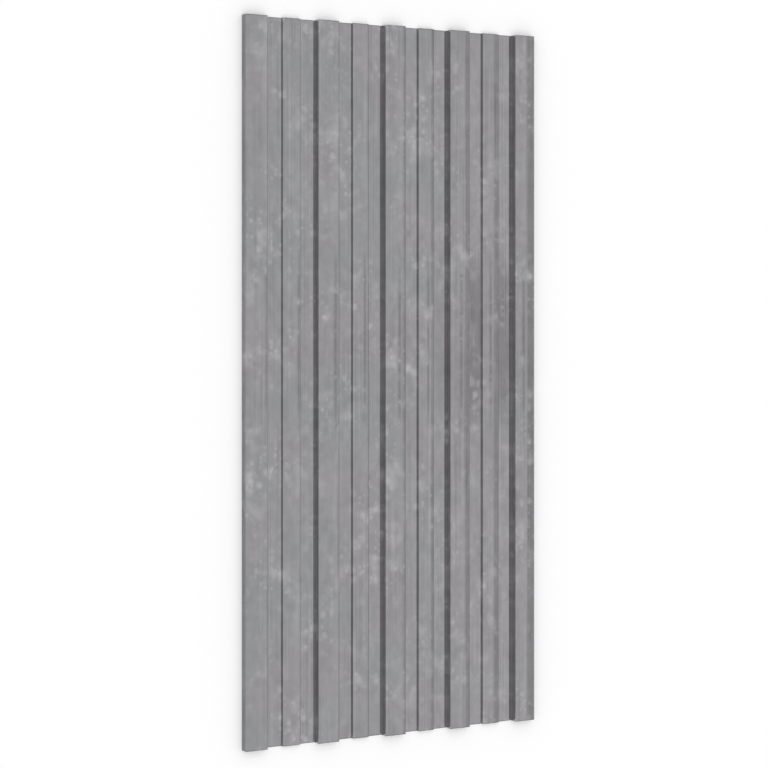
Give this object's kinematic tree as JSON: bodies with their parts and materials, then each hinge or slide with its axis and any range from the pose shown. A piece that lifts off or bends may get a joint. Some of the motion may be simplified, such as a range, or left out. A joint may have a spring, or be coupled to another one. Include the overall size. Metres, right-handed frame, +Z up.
{
  "type": "corrugated metal sheet",
  "caption": "Box-ribbed galvanised steel cladding sheet: high flat ribs alternate with low ones, with narrow flat valleys between, along its whole length.",
  "frame": {"origin": "centre of the sheet's footprint, at the underside of the valleys", "axes": "+X across the ribs, +Y along the ribs, +Z up out of the rib crowns"},
  "size_m": [0.45, 1, 0.0114],
  "materials": {
    "galvanised_steel": "hot-dip galvanised, smooth skin with faint mottled spangle and fine rolling streaks"
  },
  "bodies": {
    "root": {"ribbed_sheet": "galvanised_steel"}
  },
  "joints": []
}
